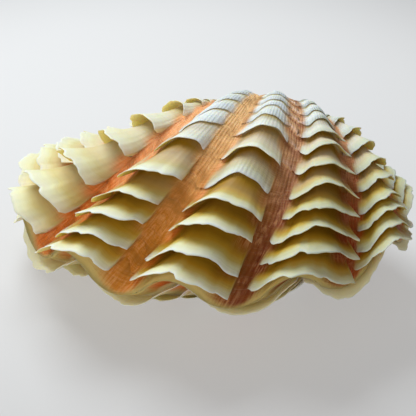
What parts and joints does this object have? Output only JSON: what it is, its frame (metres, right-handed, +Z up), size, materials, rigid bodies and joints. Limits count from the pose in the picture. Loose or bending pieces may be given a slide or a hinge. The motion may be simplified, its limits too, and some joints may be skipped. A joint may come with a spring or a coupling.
{
  "type": "giant clam shell",
  "caption": "Closed fluted giant clam shell with broad radial ribs carrying rows of thin, upturned, leaf-like scales and a wavy interlocking margin.",
  "frame": {"origin": "on the ground, under the middle of the shell's length and depth as it rests", "axes": "+X along the length of the shell, -Y towards the wavy margin, +Z up"},
  "size_m": [0.3064, 0.2314, 0.1413],
  "materials": {
    "upper_valve": "natural shell: cream scales, orange interspaces, satin where smooth",
    "lower_valve": "natural shell: cream scales, orange interspaces, satin where smooth"
  },
  "bodies": {
    "root": {"upper_valve": "upper_valve", "lower_valve": "lower_valve"}
  },
  "joints": []
}
